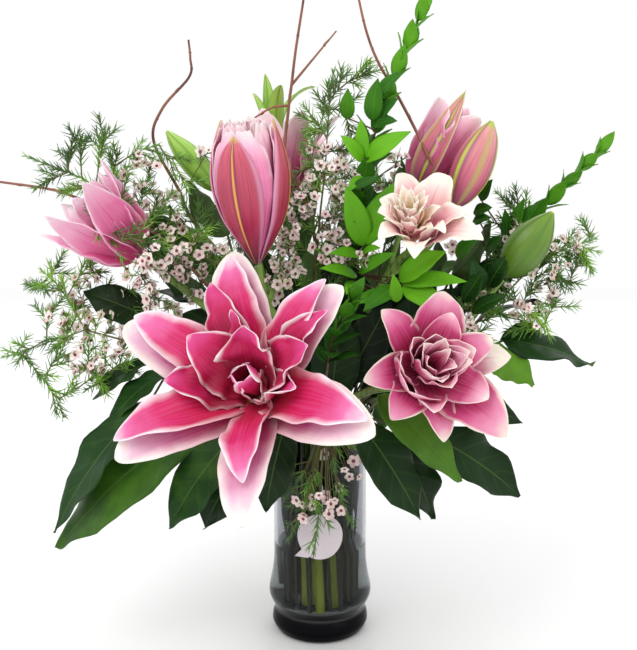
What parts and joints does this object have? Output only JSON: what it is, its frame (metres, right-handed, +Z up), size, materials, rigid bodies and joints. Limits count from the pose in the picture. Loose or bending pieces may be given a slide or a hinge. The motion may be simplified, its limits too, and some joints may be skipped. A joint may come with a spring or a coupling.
{
  "type": "lilies in a vase",
  "caption": "Double pink lilies with buds, glossy leaves, myrtle, waxflower and curly willow, arranged in a tall round glass vase of water.",
  "frame": {"origin": "centre of the vase's foot, on the surface that it stands on", "axes": "+Z up along the vase's axis; -Y is the front, which the largest lily and the label face; +X is to the viewer's right"},
  "size_m": [0.5915, 0.3765, 0.6314],
  "materials": {
    "glass": "clear glass, smoke grey in the thick foot",
    "water": "clear still water",
    "paper": "matt white label paper",
    "stem": "fresh green stem, faint bloom",
    "lemon_leaf": "leathery, glossy dark green",
    "myrtle": "satin mid-green leaf",
    "waxflower": "needle-leaved twigs with small pink blossoms",
    "willow": "smooth red-brown bark",
    "pink_petal": "velvety petal, deep pink with white edges",
    "pale_petal": "pale blush petal",
    "pink_bud": "pink bud with yellow-green ribs",
    "green_bud": "green bud, waxy"
  },
  "bodies": {
    "root": {"lily_stem_front": "stem", "lily_stem_right": "stem", "lily_stem_pale": "stem", "lily_stem_left": "stem", "front_lily_sepal_1": "pink_petal", "front_lily_sepal_2": "pink_petal", "front_lily_sepal_3": "pink_petal", "front_lily_petal_1": "pink_petal", "front_lily_petal_2": "pink_petal", "front_lily_petal_3": "pink_petal", "front_lily_inner_low_1": "pink_petal", "front_lily_inner_low_2": "pink_petal", "front_lily_inner_low_3": "pink_petal", "front_lily_inner_1": "pink_petal", "front_lily_inner_2": "pink_petal", "front_lily_inner_3": "pink_petal", "front_lily_heart": "pink_petal", "right_lily_sepal_1": "pink_petal", "right_lily_sepal_2": "pink_petal", "right_lily_sepal_3": "pink_petal", "right_lily_petal_1": "pink_petal", "right_lily_petal_2": "pink_petal", "right_lily_petal_3": "pink_petal", "right_lily_heart": "pink_petal", "pale_lily_sepal_1": "pale_petal", "pale_lily_sepal_2": "pale_petal", "pale_lily_sepal_3": "pale_petal", "pale_lily_petal_1": "pale_petal", "pale_lily_petal_2": "pale_petal", "pale_lily_petal_3": "pale_petal", "pale_lily_heart": "pale_petal", "tall_bud": "pink_bud", "left_lily": "pale_petal", "green_tipped_lily": "green_bud", "striped_bud": "pink_bud", "right_bud": "green_bud", "back_lily": "pale_petal", "lily_stem_tall": "stem", "lemon_leaf_left": "lemon_leaf", "lemon_leaf_front_left": "lemon_leaf", "lemon_leaf_front_right": "lemon_leaf", "lemon_leaf_right": "lemon_leaf", "lemon_leaf_back_left": "lemon_leaf", "lemon_leaf_back_right": "lemon_leaf", "myrtle_centre": "myrtle", "myrtle_right": "myrtle", "myrtle_front": "myrtle", "waxflower_upper_left": "waxflower", "waxflower_left": "waxflower", "waxflower_centre": "waxflower", "waxflower_right": "waxflower", "waxflower_front": "waxflower", "waxflower_back": "waxflower", "willow_left": "willow", "willow_fork": "willow", "willow_right": "willow", "willow_side": "willow", "vase": "glass", "label": "paper", "water": "water"}
  },
  "joints": []
}
